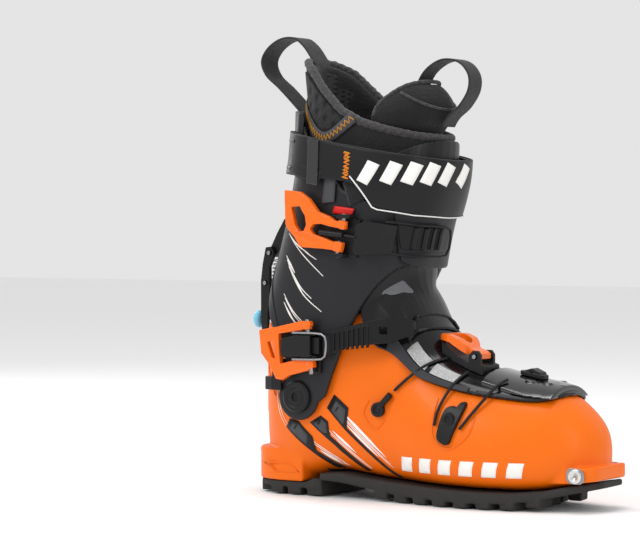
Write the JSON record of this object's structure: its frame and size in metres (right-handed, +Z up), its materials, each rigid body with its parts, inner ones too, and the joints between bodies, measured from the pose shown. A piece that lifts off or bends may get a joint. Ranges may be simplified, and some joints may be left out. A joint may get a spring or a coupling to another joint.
{
  "type": "alpine touring ski boot",
  "caption": "Right-foot alpine touring boot: rigid shell, hinged cuff, buckle levers, power strap, walk mechanism and removable padded liner.",
  "frame": {"origin": "centre of the boot's bounding box at floor level, under the sole's lugs", "axes": "+X to the toe, +Y to the inner side of the foot (the wearer's left), +Z up the leg"},
  "size_m": [0.3158, 0.1262, 0.358],
  "materials": {
    "shell_orange": "satin injection-moulded plastic",
    "lever_orange": "anodised orange, smooth satin",
    "cuff_black": "satin carbon-filled plastic",
    "satin_black": "satin moulded plastic",
    "gloss_black": "gloss moulded plastic",
    "strap_black": "flexible satin plastic",
    "sole_rubber": "matte moulded rubber",
    "board_plastic": "matte",
    "footbed_foam": "cloth-topped foam",
    "liner_fabric": "padded mesh and laminated foam",
    "webbing": "woven strap",
    "insert_steel": "machined steel",
    "screw_steel": "plain steel",
    "screw_dark": "dark plated steel",
    "wire_black": "dark coated steel",
    "knob_blue": "moulded plastic"
  },
  "bodies": {
    "shell": {"lower_shell": "shell_orange", "outsole_forefoot": "sole_rubber", "outsole_heel": "sole_rubber", "heel_tech_insert": "insert_steel", "heel_insert_screw": "screw_steel", "toe_insert_lateral": "insert_steel", "toe_insert_medial": "insert_steel", "bootboard": "board_plastic", "liner_foot": "liner_fabric", "footbed": "footbed_foam", "tongue_lower": "gloss_black", "toe_plate": "gloss_black", "pivot_rivet_lateral": "satin_black", "pivot_rivet_medial": "satin_black", "instep_base": "satin_black", "instep_pin_top": "screw_steel", "instep_pin_low": "screw_steel", "ladder_strap": "strap_black", "strap_wires": "wire_black", "cable_eyelet": "screw_dark", "cable_guide": "satin_black", "medial_bracket": "satin_black", "cable_rear": "wire_black", "cable_middle": "wire_black", "cable_front": "wire_black", "toe_hook": "satin_black", "forefoot_base": "satin_black", "forefoot_pin": "screw_steel"},
    "cuff": {"cuff": "cuff_black", "front_flap": "cuff_black", "flap_rack": "strap_black", "tongue_upper": "cuff_black", "liner_collar": "liner_fabric", "liner_tongue": "liner_fabric", "spoiler": "cuff_black", "rear_panel": "satin_black", "upper_base": "satin_black", "upper_pin_top": "screw_steel", "upper_pin_low": "screw_steel", "power_strap": "webbing", "strap_rear_plate": "satin_black", "strap_d_ring": "satin_black", "strap_keeper": "gloss_black", "rear_loop": "webbing", "front_loop": "webbing", "walk_bracket": "satin_black", "walk_top_pin": "screw_steel"},
    "upper_lever": {"upper_lever": "lever_orange"},
    "upper_catch": {"upper_barrel": "wire_black", "upper_hook": "satin_black"},
    "instep_lever": {"instep_lever": "lever_orange"},
    "instep_catch": {"instep_catch": "satin_black", "instep_bail": "screw_steel"},
    "forefoot_lever": {"forefoot_lever": "lever_orange"},
    "walk_arms": {"walk_arms": "satin_black", "walk_mid_pin": "screw_steel", "walk_spring": "screw_steel"},
    "walk_lever": {"walk_lever": "wire_black", "walk_knob": "knob_blue"}
  },
  "joints": [
    {"name": "cuff_pivot", "type": "hinge", "parent": "shell", "child": "cuff", "pos_m": [-0.08508, 0.0011, 0.077], "axis": [0, 1, 0], "range_deg": [-26, 16]},
    {"name": "upper_lever_hinge", "type": "hinge", "parent": "cuff", "child": "upper_lever", "pos_m": [-0.04008, -0.0573, 0.201], "axis": [0.2085, 0, 0.978], "range_deg": [0, 115]},
    {"name": "upper_catch_hinge", "type": "hinge", "parent": "upper_lever", "child": "upper_catch", "pos_m": [-0.06208, -0.0573, 0.204], "axis": [0.2085, 0, 0.978], "range_deg": [-115, 0]},
    {"name": "instep_lever_hinge", "type": "hinge", "parent": "shell", "child": "instep_lever", "pos_m": [-0.06908, -0.0574, 0.116], "axis": [-0.1, 0, 0.995], "range_deg": [0, 100]},
    {"name": "instep_catch_hinge", "type": "hinge", "parent": "instep_lever", "child": "instep_catch", "pos_m": [-0.08908, -0.0574, 0.116], "axis": [-0.1, 0, 0.995], "range_deg": [-100, 0]},
    {"name": "forefoot_lever_hinge", "type": "hinge", "parent": "shell", "child": "forefoot_lever", "pos_m": [0.05592, -0.0099, 0.1105], "axis": [0, 1, 0], "range_deg": [0, 140]},
    {"name": "walk_arms_hinge", "type": "hinge", "parent": "cuff", "child": "walk_arms", "pos_m": [-0.14058, 0.0011, 0.187], "axis": [0, 1, 0], "range_deg": [0, 20]},
    {"name": "walk_lever_hinge", "type": "hinge", "parent": "walk_arms", "child": "walk_lever", "pos_m": [-0.14458, 0.0011, 0.163], "axis": [0, 1, 0], "range_deg": [0, 90]}
  ],
  "couplings": [
    {"joint": "upper_catch_hinge", "follows": "upper_lever_hinge", "ratio": -1},
    {"joint": "instep_catch_hinge", "follows": "instep_lever_hinge", "ratio": -1}
  ]
}
